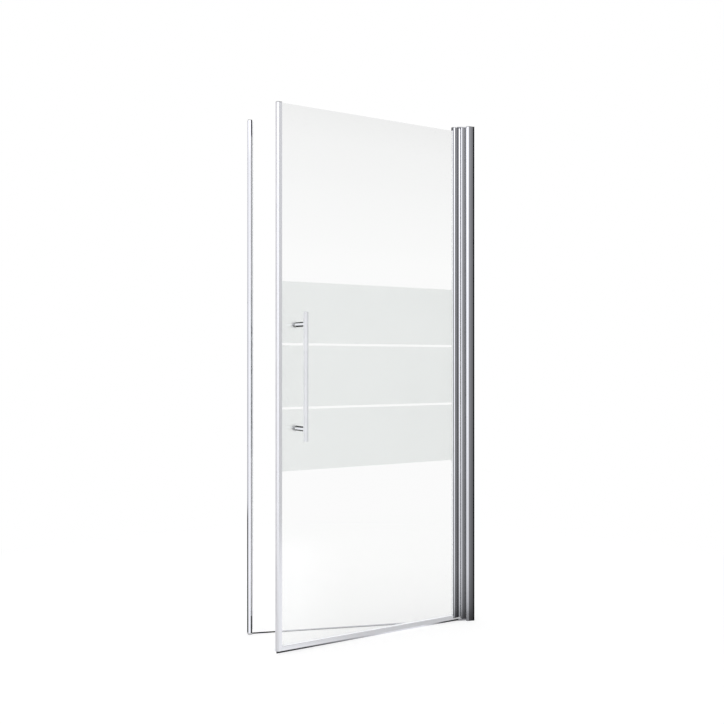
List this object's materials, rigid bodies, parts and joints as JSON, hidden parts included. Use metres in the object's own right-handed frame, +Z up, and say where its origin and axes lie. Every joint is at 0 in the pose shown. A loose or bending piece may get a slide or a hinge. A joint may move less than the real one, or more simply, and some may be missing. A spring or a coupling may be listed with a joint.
{
  "type": "pivot shower door",
  "caption": "Pivot shower door for a niche: clear glass leaf with frosted bands, chrome hinge posts, bar handle, magnetic strike post and low threshold, stored part open.",
  "frame": {"origin": "on the tray, in the middle of the niche opening, in the plane of the closed door through the pivot axis", "axes": "+X along the opening to the hinge side wall, +Y into the shower, +Z up; the door opens outwards, to -Y"},
  "size_m": [0.88, 0.3306, 1.92],
  "materials": {
    "chrome_profile": "extruded aluminium with a bright polished chrome finish",
    "chrome": "bright polished chrome plate",
    "steel": "plain stainless steel",
    "clear_glass": "clear toughened safety glass, polished edges",
    "frosted_film": "satin white frosted decor",
    "clear_seal": "translucent flexible plastic",
    "dark_seal": "dark soft seal",
    "magnet_seal": "grey flexible magnet strip",
    "dark_plastic": "dark moulded plastic",
    "grey_plastic": "light grey moulded plastic",
    "white_plastic": "white low-friction plastic",
    "tape": "foam mounting tape"
  },
  "bodies": {
    "frame": {"hinge_wall_channel": "chrome_profile", "hinge_wall_seal": "dark_seal", "hinge_post": "chrome_profile", "hinge_clamp_screws": "steel", "hinge_cap_top": "dark_plastic", "hinge_gap_seal": "clear_seal", "top_pivot_bracket": "steel", "top_pivot_pin": "steel", "top_bracket_screws": "steel", "bottom_pivot_bracket": "steel", "bottom_pivot_pin": "steel", "bottom_bracket_screws": "steel", "thrust_washer": "white_plastic", "strike_wall_channel": "chrome_profile", "strike_magnet_profile": "chrome_profile", "strike_magnet_strip": "magnet_seal", "strike_stop_seal": "clear_seal", "strike_clamp_screws": "steel", "strike_cap_top": "dark_plastic", "strike_foot": "grey_plastic", "threshold_rail": "chrome_profile", "threshold_stop": "dark_seal", "threshold_tape": "tape", "threshold_end_cap": "grey_plastic"},
    "door": {"hinge_stile": "chrome_profile", "closing_stile": "chrome_profile", "bottom_rail": "chrome_profile", "handle_bar": "chrome", "handle_cap_upper": "chrome", "handle_cap_lower": "chrome", "standoff_upper": "chrome", "standoff_lower": "chrome", "knob_upper": "chrome", "knob_lower": "chrome", "stud_upper": "steel", "stud_lower": "steel", "glass_panel": "clear_glass", "frosted_decor": "frosted_film", "hinge_gasket_inner": "clear_seal", "hinge_gasket_outer": "clear_seal", "closing_gasket_inner": "clear_seal", "closing_gasket_outer": "clear_seal", "rail_gasket_inner": "clear_seal", "rail_gasket_outer": "clear_seal", "drip_deflector": "clear_seal", "bottom_wiper": "dark_seal", "door_magnet_strip": "magnet_seal", "closing_stile_cap": "dark_plastic", "stile_top_block": "dark_plastic", "stile_bottom_block": "dark_plastic", "top_pivot_bush": "white_plastic", "bottom_pivot_bush": "white_plastic", "sleeve_upper": "white_plastic", "sleeve_lower": "white_plastic", "washer_outer_upper": "white_plastic", "washer_outer_lower": "white_plastic", "washer_inner_upper": "white_plastic", "washer_inner_lower": "white_plastic"}
  },
  "joints": [
    {"name": "door_swing", "type": "hinge", "parent": "frame", "child": "door", "pos_m": [0.381, 0, 0.96], "axis": [0, 0, 1], "range_deg": [-19.8, 75.2]}
  ]
}
